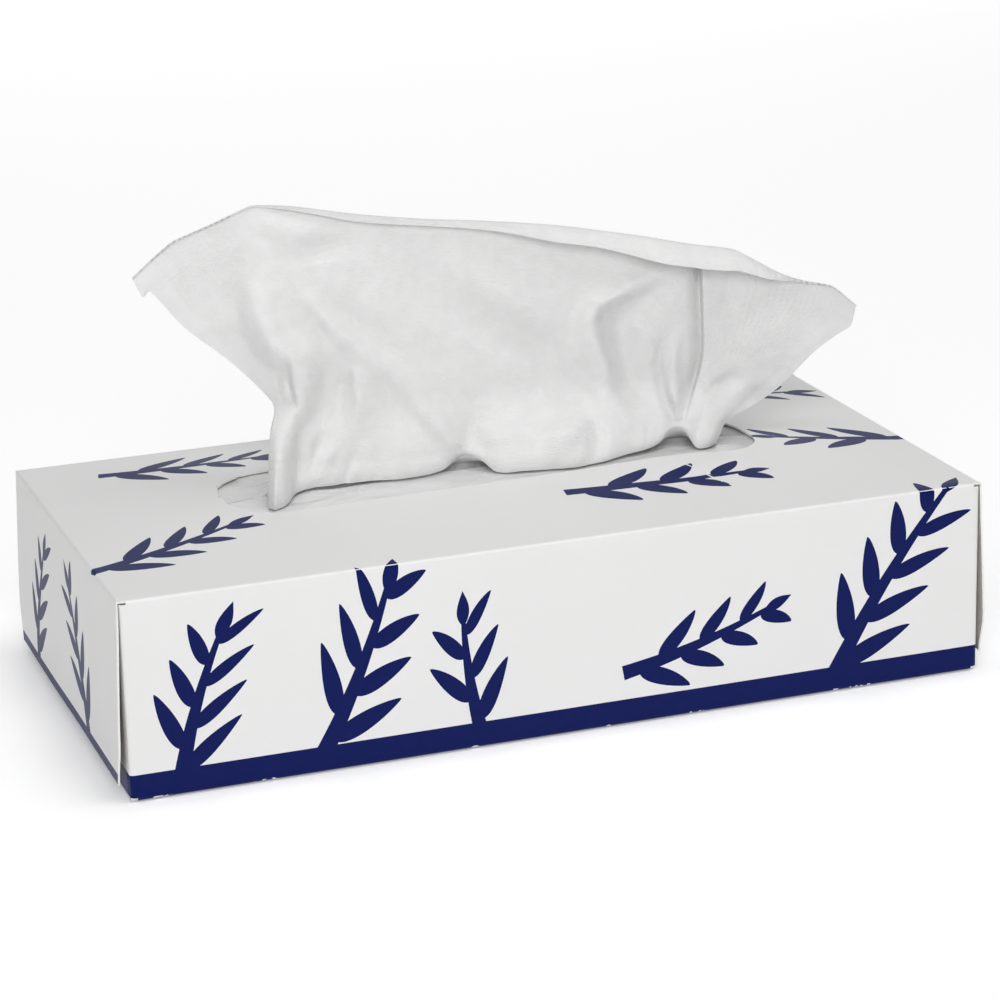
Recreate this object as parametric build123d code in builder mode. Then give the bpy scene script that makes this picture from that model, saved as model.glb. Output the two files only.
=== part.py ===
from build123d import *
from math import cos, hypot, pi
import os

# Facial tissue carton lying flat, with a sheet pulled half way out of it.
# +X runs along the carton, -Y is its front and +Z is up. The origin is the middle of the
# bottom panel's underside. All sizes are in millimetres.

# The carton as folded
carton_length = 230.0  # between the folds of the two outer end flaps
carton_width = 117.4
carton_height = 51.4  # at the four edges of the top panel
top_crown = 4.0  # the contents push the middle of the top panel up by this much

# The board and its folds
board = 0.5
fold_radius = 0.9  # outside radius of a scored fold
board_gap = 0.2  # air between boards that lie over each other
flap_relief = 0.8  # each flap is cut this much narrower than its panel, on both sides
shoulder = 2.0  # flat strip beside each long top fold, before the panel starts to rise

# The flaps
seam_flap_width = 12.0  # folds in from the back panel and lies glued on the bottom panel
dust_flap_length = 45.0
bottom_flap_height = 41.0
outer_flap_foot = 4.0  # height of the outer end flap's free edge above the table
outer_flap_splay = 1.6  # its free edge stands out by this much
outer_flap_taper = 2.6  # its free corners are cut in by this much
outer_flap_taper_height = 11.0

# The glue beads between the outer and the bottom end flaps
bead_length = 70.0
bead_height = 3.0
bead_spacing = 14.0
bead_middle = 22.0  # height half way between the two beads

# The torn-out opening and the film under it
opening_length = 147.0
opening_width = 38.0
opening_corner = 15.5
opening_x = 1.5
opening_y = 3.0
film = 0.15
film_glue = 0.1  # thickness of the glue line between the board and the film
film_lap = 11.0  # the film reaches this far past the opening under the board
slit_length = 137.0
slit_width = 7.0  # the gathered sheet holds the lips this far apart
slit_x = 5.0

# The stack of folded sheets
stack_end_room = 7.8  # free length between each end of the stack and the dust flaps
stack_side_room = 6.7  # free width between the stack's folds and the front and back panels
stack_head_room = 8.9  # free height between the stack and the top panel's edges
stack_bulge = 1.2  # the folded long edges round out by this much
stack_shift = -1.5  # the stack lies a little nearer the front
seat_gap = 0.3

# The pulled sheet, drawn as thick as the two loose plies and the air between them
sheet = 0.8
tail_end_inset = 2.5  # its lower half ends this far inside both ends of the stack
tail_front_inset = 4.8  # and this far behind the stack's front folds
foot_rise = 1.6  # the gathers start to open out this far above the crown
head_rise = 4.0  # the fold lines are laid out to this far above the free edge

# Fold lines of the pulled sheet from left to right: where each leaves the slit, where it
# ends above the free edge, and how far back from the slit it stands at both
fold_lines = [
    (-60.0, -94.0, 0.5, 8.0),
    (-56.0, -63.0, -2.2, -3.0),
    (-51.0, -54.0, 2.0, 1.5),
    (-46.0, -48.0, -1.8, -1.5),
    (-36.0, -44.0, 1.2, 1.0),
    (-2.0, -38.0, -1.5, -3.0),
    (17.0, -5.0, 0.6, -3.5),
    (37.0, 30.0, -1.6, -4.2),
    (45.0, 43.0, 1.8, 2.0),
    (50.0, 50.0, -1.6, -1.0),
    (54.0, 55.0, 1.0, 1.5),
    (58.0, 61.0, 2.2, 5.5),
    (62.0, 73.0, -2.2, -3.5),
    (66.0, 98.0, 1.0, -2.0),
    (70.0, 128.0, -0.8, -7.0),
]
fold_shares = (0.0, 0.09, 0.25, 0.55, 1.0)  # sections from the foot to the head
fold_steps = 3  # facets between a ridge and the next valley

# Silhouette of the free part of the sheet, from the left of the slit over the top edge to
# the right of it, as x and height above the top panel's edges
sheet_outline = [
    (-58.5, 18.6),
    (-56.8, 25.6),
    (-68.0, 38.3),
    (-79.3, 48.6),
    (-91.8, 64.4),
    (-81.8, 72.3),
    (-60.6, 79.6),
    (-21.0, 73.1),
    (33.6, 64.1),
    (62.0, 58.1),
    (91.0, 45.1),
    (101.5, 41.4),
    (107.5, 36.0),
    (106.7, 30.6),
    (94.0, 24.9),
    (82.3, 16.4),
]

# The lip that flops forward along the free edge: x, height of its crest above the top
# panel's edges, and how far it drops
lip_stations = [
    (-46.0, 77.2, 1.8),
    (-21.0, 73.6, 3.6),
    (6.0, 69.2, 3.4),
    (33.6, 64.6, 5.4),
    (62.0, 58.8, 7.6),
    (80.0, 50.9, 5.0),
    (97.0, 43.4, 1.8),
]
lip_back = -2.5  # where the lip leaves the sheet, measured back from the slit
lip_overhang = 5.5

half_length = carton_length / 2
half_width = carton_width / 2
wall_middle = half_width - board / 2  # middle of the front and back panels' thickness
fold_middle = fold_radius - board / 2
bottom_flap_face = half_length - board - board_gap
dust_flap_face = bottom_flap_face - board - board_gap
sleeve_end = dust_flap_face - fold_radius  # the front, back and top panels end here
top_middle = carton_height - board / 2
seam_edge = wall_middle - seam_flap_width
crown_half_width = half_width - shoulder
slit_y = opening_y
dust_flap_inside = dust_flap_face - board
stack_length = 2 * (dust_flap_inside - stack_end_room)
stack_width = 2 * (half_width - board - stack_side_room)
stack_front = stack_shift - stack_width / 2
stack_back = stack_shift + stack_width / 2
stack_top = carton_height - board - stack_head_room
foot_height = carton_height + top_crown + foot_rise
head_height = carton_height + max(height for _, height in sheet_outline) + head_rise

# Underside of the top panel: straight along its four edges, highest at its middle
under_top = Face.make_bezier_surface(
    [
        [
            (
                column * sleeve_end,
                row * crown_half_width,
                carton_height - board + (0 if row or column else 4 * top_crown),
            )
            for row in (-1, 0, 1)
        ]
        for column in (-1, 0, 1)
    ]
)


# Carton: one sheet of printed boxboard, cut, scored, folded and glued
with BuildPart() as carton:
    # Front panel, bottom panel and the edges of the top panel, in section
    with BuildSketch(Plane.YZ.offset(-sleeve_end)):
        with BuildLine():
            FilletPolyline(
                (-crown_half_width, top_middle),
                (-wall_middle, top_middle),
                (-wall_middle, board / 2),
                (half_width, board / 2),
                radius=fold_middle,
            )
        trace(line_width=board)
        # Back panel, with the seam flap that turns in on top of the bottom panel
        with BuildLine():
            FilletPolyline(
                (crown_half_width, top_middle),
                (wall_middle, top_middle),
                (wall_middle, board * 1.5),
                (seam_edge, board * 1.5),
                radius=fold_middle,
            )
        trace(line_width=board)
    extrude(amount=2 * sleeve_end)

    # Crowned top panel
    extrude(under_top, amount=board, dir=(0, 0, 1))

    for end in (-1, 1):
        # Dust flaps, folded in from the front and back panels
        with BuildSketch(Plane.XY.offset(2 * board + board_gap)):
            for face in (-1, 1):
                with BuildLine():
                    FilletPolyline(
                        (end * (sleeve_end - board), face * wall_middle),
                        (end * (dust_flap_face - board / 2), face * wall_middle),
                        (end * (dust_flap_face - board / 2), face * (half_width - dust_flap_length)),
                        radius=fold_middle,
                    )
                trace(line_width=board)
        extrude(amount=carton_height - 3 * board - 2 * board_gap)

        # Bottom end flap, folded up over them
        with BuildSketch(Plane.XZ):
            with BuildLine():
                FilletPolyline(
                    (end * (sleeve_end - board), board / 2),
                    (end * (bottom_flap_face - board / 2), board / 2),
                    (end * (bottom_flap_face - board / 2), bottom_flap_height),
                    radius=fold_middle,
                )
            trace(line_width=board)
        extrude(amount=half_width - flap_relief, both=True)

        # Outer end flap, hanging from the top panel with its free edge standing proud
        with BuildSketch(Plane.XZ):
            with BuildLine():
                FilletPolyline(
                    (end * sleeve_end, top_middle),
                    (end * (half_length - board / 2), top_middle),
                    (end * (half_length - board / 2 + outer_flap_splay), outer_flap_foot),
                    radius=fold_middle,
                )
            trace(line_width=board)
        extrude(amount=half_width - flap_relief, both=True)

        # Its free corners are cut in with a soft curve
        with BuildSketch(Plane.YZ.offset(end * (bottom_flap_face + board_gap / 2))):
            for face in (-1, 1):
                side = face * (half_width - flap_relief)
                with BuildLine():
                    taper = Spline(
                        (side, outer_flap_foot + outer_flap_taper_height),
                        (side - face * outer_flap_taper, outer_flap_foot - board),
                        tangents=((0, -1), (0, -1)),
                    )
                    Polyline(
                        taper @ 1,
                        (side + face, outer_flap_foot - board),
                        (side + face, outer_flap_foot + outer_flap_taper_height),
                        taper @ 0,
                    )
                make_face()
        extrude(amount=end * (outer_flap_splay + 2 * board), mode=Mode.SUBTRACT)

    # The opening, torn out along its perforation
    with BuildSketch(Plane.XY.offset(carton_height - 2 * board)):
        with Locations((opening_x, opening_y)):
            RectangleRounded(opening_length, opening_width, opening_corner)
    extrude(amount=top_crown + 4 * board, mode=Mode.SUBTRACT)


# Film window: clear plastic glued under the top panel, its slit held open by the sheet
with BuildPart() as film_window:
    extrude(Pos(0, 0, -film_glue) * under_top, amount=film, dir=(0, 0, -1))
    with BuildSketch(Plane.XY.offset(carton_height - 2 * board)):
        with Locations((opening_x, opening_y)):
            Rectangle(opening_length + 2 * film_lap, opening_width + 2 * film_lap)
        with Locations((slit_x, slit_y)):
            SlotOverall(slit_length, slit_width, mode=Mode.SUBTRACT)
    extrude(amount=top_crown + 4 * board, mode=Mode.INTERSECT)


# Tissue stack: the interfolded sheets that are left, their folds along both long sides
with BuildPart() as tissue_stack:
    with BuildSketch(Plane.YZ.offset(-stack_length / 2)):
        with BuildLine():
            middle = (board + stack_top) / 2
            Line((stack_front, board), (stack_back, board))
            ThreePointArc(
                (stack_back, board), (stack_back + stack_bulge, middle), (stack_back, stack_top)
            )
            Line((stack_back, stack_top), (stack_front, stack_top))
            ThreePointArc(
                (stack_front, stack_top), (stack_front - stack_bulge, middle), (stack_front, board)
            )
        make_face()
        # The lowest sheets give way over the seam flap
        with BuildLine():
            Polyline(
                (seam_edge - seat_gap, 0),
                (half_width, 0),
                (half_width, 2 * board),
                (seam_edge - seat_gap, 2 * board),
                close=True,
            )
        make_face(mode=Mode.SUBTRACT)
    extrude(amount=stack_length)


# Pulled tissue: a two-ply sheet gathered in the slit. Its upper half fans out above the
# carton and its lower half lies on the stack
def creases(share, back):
    """Corner points of the gathered sheet, a share of the way from its foot to its head.

    The gathers open out fast above the slit and hardly at all near the head, and each runs
    from ridge to valley in a soft wave. The points stand back from the sheet's middle.
    """
    opened = 1 - (1 - share) ** 3
    folds = [
        (foot_x + (head_x - foot_x) * opened, slit_y + foot_y + (head_y - foot_y) * opened + back)
        for foot_x, head_x, foot_y, head_y in fold_lines
    ]
    points = []
    for (x, y), (next_x, next_y) in zip(folds, folds[1:]):
        for step in range(fold_steps):
            wave = (1 - cos(pi * step / fold_steps)) / 2
            points.append((x + (next_x - x) * step / fold_steps, y + (next_y - y) * wave))
    return points + [folds[-1]]


with BuildPart() as pulled_tissue:
    sections = [(stack_top, 0.0)]
    sections += [(foot_height + (head_height - foot_height) * share, share) for share in fold_shares]
    for height, share in sections:
        with BuildSketch(Plane.XY.offset(height)):
            with BuildLine():
                near = creases(share, -sheet / 2)
                far = creases(share, sheet / 2)
                Polyline(*near, *reversed(far), close=True)
            make_face()
    loft(ruled=True)

    # Trimmed to the sheet's own free edges
    with BuildSketch(Plane.XZ):
        with BuildLine():
            Polyline(
                (-carton_length, 0),
                (-carton_length, foot_height),
                (fold_lines[0][0] - sheet, foot_height),
                *[(x, carton_height + rise) for x, rise in sheet_outline],
                (fold_lines[-1][0] + sheet, foot_height),
                (carton_length, foot_height),
                (carton_length, 0),
                close=True,
            )
        make_face()
    extrude(amount=carton_width, both=True, mode=Mode.INTERSECT)

    # The lower half of the sheet, flat on the stack
    with BuildSketch(Plane.XY.offset(stack_top)):
        with Locations((0, stack_front + tail_front_inset)):
            Rectangle(
                stack_length - 2 * tail_end_inset,
                slit_y + sheet - stack_front - tail_front_inset,
                align=(Align.CENTER, Align.MIN),
            )
    extrude(amount=sheet)

    # The lip that flops forward along the free edge
    for along, rise, drop in lip_stations:
        crest = carton_height + rise
        with BuildSketch(Plane.YZ.offset(along)):
            with BuildLine():
                Polyline(
                    (slit_y + lip_back, crest - 4 * sheet),
                    (slit_y + lip_back - lip_overhang / 4, crest - sheet),
                    (slit_y + lip_back - lip_overhang / 2, crest - sheet / 2),
                    (slit_y + lip_back - lip_overhang * 3 / 4, crest - sheet / 2 - drop / 4),
                    (slit_y + lip_back - lip_overhang, crest - drop),
                )
            trace(line_width=sheet)
    loft(ruled=True)


# Glue beads: hot melt pressed between the two flaps of each end
def outer_flap_inside(height):
    """Distance of the splayed flap's inner face from the carton's middle at a height."""
    drop = top_middle - outer_flap_foot
    slant = hypot(drop, outer_flap_splay) / drop
    lean = outer_flap_splay * (top_middle - height) / drop
    return half_length - board / 2 + lean - slant * board / 2


beads = {}
for name, end in (("end_glue_left", -1), ("end_glue_right", 1)):
    with BuildPart() as end_glue:
        with BuildSketch(Plane.XZ):
            for middle in (bead_middle - bead_spacing / 2, bead_middle + bead_spacing / 2):
                low = middle - bead_height / 2
                high = middle + bead_height / 2
                with BuildLine():
                    Polyline(
                        (end * bottom_flap_face, low),
                        (end * outer_flap_inside(low), low),
                        (end * outer_flap_inside(high), high),
                        (end * bottom_flap_face, high),
                        close=True,
                    )
                make_face()
        extrude(amount=bead_length / 2, both=True)
    beads[name] = end_glue

os.makedirs("parts", exist_ok=True)
pieces = {
    "carton": carton,
    "film_window": film_window,
    "tissue_stack": tissue_stack,
    "pulled_tissue": pulled_tissue,
    **beads,
}
for name, piece in pieces.items():
    piece.part.label = name
    export_step(piece.part, f"parts/{name}.step")
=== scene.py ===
from math import cos, hypot, pi, radians, sin, tau

import bmesh
import bpy
import numpy as np
from mathutils import Matrix, Vector, noise


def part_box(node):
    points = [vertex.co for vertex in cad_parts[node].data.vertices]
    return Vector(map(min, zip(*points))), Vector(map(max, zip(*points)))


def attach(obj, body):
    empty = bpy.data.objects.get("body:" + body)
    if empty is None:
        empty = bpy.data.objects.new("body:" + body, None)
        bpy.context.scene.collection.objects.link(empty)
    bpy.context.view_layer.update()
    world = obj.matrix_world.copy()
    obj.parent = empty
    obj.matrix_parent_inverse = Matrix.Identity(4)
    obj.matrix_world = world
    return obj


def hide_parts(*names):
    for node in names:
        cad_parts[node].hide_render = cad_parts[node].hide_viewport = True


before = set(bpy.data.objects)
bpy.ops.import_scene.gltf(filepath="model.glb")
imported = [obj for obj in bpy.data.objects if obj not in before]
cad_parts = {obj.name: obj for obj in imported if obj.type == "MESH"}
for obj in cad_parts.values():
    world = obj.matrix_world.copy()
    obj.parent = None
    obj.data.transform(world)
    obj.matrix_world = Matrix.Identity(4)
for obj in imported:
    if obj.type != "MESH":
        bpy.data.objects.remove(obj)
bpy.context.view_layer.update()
bpy.ops.object.select_all(action="DESELECT")

# Carton. One sheet of folding boxboard, printed and varnished on the outside, die cut,
# scored, folded round the stack and closed with hot melt. The stack pushes its top up.
mm = 0.001
half_length, half_width, height = 115 * mm, 58.7 * mm, 51.4 * mm
board = 0.5 * mm
fold_radius = 0.9 * mm
flap_fold = 0.8 * mm
crown_height = 4 * mm
crown_half_width = 56.7 * mm
sleeve_end = 112.7 * mm
seam_height, seam_width = 0.55 * mm, 12 * mm
dust_flap_face, dust_flap_length = 113.6 * mm, 45 * mm
bottom_flap_face, bottom_flap_height = 114.3 * mm, 41 * mm
bottom_flap_half_width = 55.4 * mm
outer_flap_foot, outer_flap_proud = 4 * mm, 1.6 * mm
outer_flap_cut, outer_flap_cut_height = 2.6 * mm, 15 * mm
corner_from, corner_width, corner_bulge = 55.5 * mm, 1.5 * mm, 0.75 * mm
strain_middle, strain_size = (52 * mm, -18 * mm), (24 * mm, 15 * mm)
dent_middle, dent_size = (46 * mm, -34 * mm), (12 * mm, 7 * mm)
above_fold = 0.8 * mm  # where a flap is clear of the bottom fold's round
slack = 0.05 * mm  # how near a point has to be to count as on a face
opening_middle = (1.5 * mm, 3 * mm)
opening_size = (147 * mm, 38 * mm)
opening_corner = 15.5 * mm


def crown(x, y):
    """Height of the top panel above its four edges."""
    across = max(0.0, 1 - (y / crown_half_width) ** 2)
    along = max(0.0, 1 - (x / sleeve_end) ** 2)
    return crown_height * across * along


def pick_edges(where):
    """Select the edges of the blank whose two ends both lie where asked."""
    blank = bmesh.from_edit_mesh(bpy.context.object.data)
    for face in blank.faces:
        face.select_set(False)
    for edge in blank.edges:
        edge.select_set(all(where(v.co) for v in edge.verts))
    bmesh.update_edit_mesh(bpy.context.object.data)


def cut_long_edges(axis, over, cuts):
    """Cut up the edges that run along one axis for more than a length."""
    blank = bmesh.from_edit_mesh(bpy.context.object.data)
    for face in blank.faces:
        face.select_set(False)
    for edge in blank.edges:
        run = edge.verts[1].co - edge.verts[0].co
        edge.select_set(abs(run[axis]) > over and abs(run[axis]) > 0.9 * run.length)
    bmesh.update_edit_mesh(bpy.context.object.data)
    bpy.ops.mesh.subdivide(number_cuts=cuts)


def finish_mesh():
    """Turn all faces the same way and leave edit mode."""
    bpy.ops.mesh.select_all(action="SELECT")
    bpy.ops.mesh.normals_make_consistent(inside=False)
    bpy.ops.object.mode_set(mode="OBJECT")


def pull_out(x, y, z):
    """Extrude the selected edges into the next panel of the blank."""
    bpy.ops.mesh.extrude_edges_move(TRANSFORM_OT_translate={"value": (x, y, z)})


bpy.ops.mesh.primitive_plane_add(size=1, location=(0, 0, 0))
carton = bpy.context.object
carton.name = "carton_board"
carton.scale = (2 * sleeve_end, 2 * half_width, 1)
bpy.ops.object.transform_apply()
bpy.ops.object.mode_set(mode="EDIT")
bpy.ops.mesh.select_mode(type="EDGE")

# The sleeve: bottom, front, top and back panels, and the seam flap inside
pick_edges(lambda p: p.y < -half_width + mm)
pull_out(0, 0, height)
pull_out(0, 2 * half_width, 0)
pull_out(0, 0, seam_height - height)
pull_out(0, -seam_width, 0)
pick_edges(
    lambda p: (p.z > height - mm and abs(p.y) > half_width - mm)
    or (p.z < mm and p.y < -half_width + mm)
    or (abs(p.z - seam_height) < 0.1 * mm and p.y > half_width - mm)
)
blank = bmesh.from_edit_mesh(carton.data)
for edge in blank.edges:
    if edge.select and abs((edge.verts[1].co - edge.verts[0].co).x) < sleeve_end:
        edge.select_set(False)
bmesh.update_edit_mesh(carton.data)
bpy.ops.mesh.bevel(offset=fold_radius, segments=4, affect="EDGES")

for end in (-1, 1):
    # Dust flaps turn in from the front and back panels
    for face in (-1, 1):
        pick_edges(
            lambda p: p.x * end > sleeve_end - mm
            and p.y * face > half_width - slack
            and p.z > above_fold
        )
        pull_out(end * (dust_flap_face - sleeve_end), 0, 0)
        pull_out(0, -face * dust_flap_length, 0)
    # The bottom end flap folds up over them
    pick_edges(lambda p: p.x * end > sleeve_end - mm and p.z < slack and abs(p.y) > half_width - 2 * mm)
    pull_out(end * (bottom_flap_face - sleeve_end), 0, 0)
    pull_out(0, 0, bottom_flap_height)
    # The outer end flap hangs from the top panel, its free edge standing proud
    pick_edges(
        lambda p: 0 < p.x * end - sleeve_end + mm < 1.2 * mm
        and p.z > height - 0.3 * mm
        and abs(p.y) < half_width
    )
    pull_out(end * (half_length - sleeve_end), 0, 0)
    pull_out(end * outer_flap_proud, 0, outer_flap_foot - height)

pick_edges(
    lambda p: abs(abs(p.x) - half_length) < slack
    and p.z > height - slack
    or abs(abs(p.x) - bottom_flap_face) < slack
    and p.z < slack
    or abs(abs(p.x) - dust_flap_face) < slack
    and abs(p.y) > half_width - slack
)
bpy.ops.mesh.bevel(offset=flap_fold, segments=4, affect="EDGES")

# Enough rows of points for the panels to swell and warp
cut_long_edges(0, sleeve_end, 75)
cut_long_edges(1, half_width, 39)
cut_long_edges(2, 30 * mm, 15)
finish_mesh()

# Turn the sheet's face outwards, by a face of the top panel
top_face = max(carton.data.polygons, key=lambda f: f.center.z - abs(f.center.x) - abs(f.center.y))
if top_face.normal.z < 0:
    carton.data.flip_normals()

# A map of the blank laid flat, so that the print runs on over the folds: how far along the
# carton, and how far round it from the front bottom fold
blank_map = carton.data.uv_layers.new(name="blank")
for face in carton.data.polygons:
    middle = face.center
    past_end = abs(middle.x) - sleeve_end
    outer = past_end > 0 and (middle.z > height - 0.5 * mm or abs(middle.x) > half_length - 0.3 * mm)
    upright = abs(face.normal.x) > 0.7 and abs(middle.x) > dust_flap_face + 0.2 * mm
    bottom_flap = past_end > 0 and not outer and upright
    for corner in face.loop_indices:
        p = carton.data.vertices[carton.data.loops[corner].vertex_index].co
        side = -1 if p.x < 0 else 1
        if outer:
            place = (side * (abs(p.x) + height - p.z), height + half_width + p.y)
        elif bottom_flap:
            place = (side * (abs(p.x) + p.z), -half_width - p.y)
        elif middle.z > height / 2:
            round_front = p.z + p.y + half_width
            round_back = 2 * height + half_width + p.y - p.z
            place = (p.x, round_front if middle.y < 0 else round_back)
        elif middle.y < 0 or middle.z < 0.3 * mm:
            place = (p.x, p.z - p.y - half_width)
        else:
            place = (p.x, 2 * height + half_width + p.y - p.z)
        blank_map.data[corner].uv = place


def mound(x, y, middle, size):
    """A round rise, 1 high at its middle."""
    return np.exp(-(((x - middle[0]) / size[0]) ** 2) - ((y - middle[1]) / size[1]) ** 2)


def top_lift(x, y):
    """How far the top panel stands above its flat shape: crown, strain, a dent and a crease."""
    lift = crown(x, y)
    strain = mound(x, y, strain_middle, strain_size)
    dent = mound(x, y, dent_middle, dent_size)
    down_crease = min(1, max(0, (-18 * mm - y) / (18 * mm)))
    from_crease = x - (44 * mm + 8 * mm * down_crease)
    crease = np.exp(-((from_crease / (1.5 * mm)) ** 2)) * sin(pi * down_crease)
    wave = noise.noise(Vector((x * 16, y * 22, 3.1)))
    edge = crown(x, y) / crown_height
    return lift + (2.0 * strain - 0.7 * dent + 0.45 * crease + 0.35 * wave) * mm * edge


def settle(p):
    """Where a point of the squarely folded carton lies in the filled one."""
    x, y, z = p
    side, face = (1 if x > 0 else -1), (1 if y > 0 else -1)
    if z > height - slack and abs(x) <= sleeve_end and abs(y) < crown_half_width:
        z += top_lift(x, y)
    upright = sin(pi * min(1, max(0, z / height)))
    if abs(y) > half_width - slack and abs(x) <= sleeve_end:
        along = 1 - (x / sleeve_end) ** 2
        uneven = 1 + noise.noise(Vector((x * 20, z * 30, y * 9)))
        y += face * 0.25 * mm * upright * along * uneven
    # The corners bulge out to the outer flap, past the narrower bottom flap
    across_corner = min(1, max(0, (abs(y) - corner_from) / corner_width))
    if sleeve_end + 0.1 * mm < abs(x) < dust_flap_face + 0.1 * mm and z > above_fold:
        past_sleeve = (abs(x) - sleeve_end) / (dust_flap_face - sleeve_end)
        x += side * corner_bulge * across_corner * past_sleeve
    elif abs(abs(x) - bottom_flap_face) < 0.1 * mm and z > above_fold:
        y = min(bottom_flap_half_width, max(-bottom_flap_half_width, y))
    # The outer flap bows out, and its lower corners are cut back
    if abs(x) > half_length - 0.3 * mm and z < height - mm:
        down = (height - z) / height
        uneven = noise.noise(Vector((side, y * 28, z * 22)))
        x += side * (0.45 * sin(pi * down) + 0.35 * uneven) * mm * down
        cut = max(0.0, (outer_flap_cut_height - z) / (outer_flap_cut_height - outer_flap_foot))
        y *= 1 - outer_flap_cut / half_width * (3 * cut ** 2 - 2 * cut ** 3)
    return x, y, z


for vertex in carton.data.vertices:
    vertex.co = settle(vertex.co)


def join_up(tree, kind, inputs=None, **settings):
    """Add a node, set it and connect what feeds it."""
    node = tree.nodes.new(kind)
    for name, value in settings.items():
        setattr(node, name, value)
    for socket, value in (inputs or {}).items():
        target = node.inputs[socket]
        if isinstance(value, bpy.types.NodeSocket):
            tree.links.new(value, target)
        else:
            target.default_value = value
    return node


def tuned(material_name, base, roughness):
    """A new material: itself, its shader, its node tree and the place on the piece."""
    material = bpy.data.materials.new(material_name)
    material.use_nodes = True
    tree = material.node_tree
    shader = tree.nodes["Principled BSDF"]
    shader.inputs["Base Color"].default_value = (*base, 1)
    shader.inputs["Roughness"].default_value = roughness
    return material, shader, tree, join_up(tree, "ShaderNodeTexCoord").outputs["Object"]


def reckon(tree, operation, first, second=0.0, third=0.0, clamp=False):
    """One step of arithmetic in a material."""
    inputs = {0: first, 1: second, 2: third}
    return join_up(tree, "ShaderNodeMath", inputs, operation=operation, use_clamp=clamp).outputs[0]


def mottle(tree, place, scale, detail, **more):
    """Uneven noise over a piece, from 0 to 1."""
    inputs = {0: place, "Scale": scale, "Detail": detail, **more}
    return join_up(tree, "ShaderNodeTexNoise", inputs).outputs[0]


def carried(tree, value, before, after):
    """A value carried from one range to another."""
    inputs = {0: value, 1: before[0], 2: before[1], 3: after[0], 4: after[1]}
    return join_up(tree, "ShaderNodeMapRange", inputs).outputs[0]


def blend(tree, share, first, second):
    """A colour between two others, each of them flat or worked out before."""
    colours = [
        colour if isinstance(colour, bpy.types.NodeSocket) else (*colour, 1)
        for colour in (first, second)
    ]
    inputs = {0: share, 6: colours[0], 7: colours[1]}
    return join_up(tree, "ShaderNodeMix", inputs, data_type="RGBA").outputs[2]


def emboss(tree, shader, height, strength, distance):
    """Fine relief on a material."""
    inputs = {"Strength": strength, "Distance": distance, "Height": height}
    tree.links.new(join_up(tree, "ShaderNodeBump", inputs).outputs[0], shader.inputs["Normal"])


def parts_of(tree, place):
    """The x, y and z of a place."""
    return join_up(tree, "ShaderNodeSeparateXYZ", {0: place}).outputs


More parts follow.
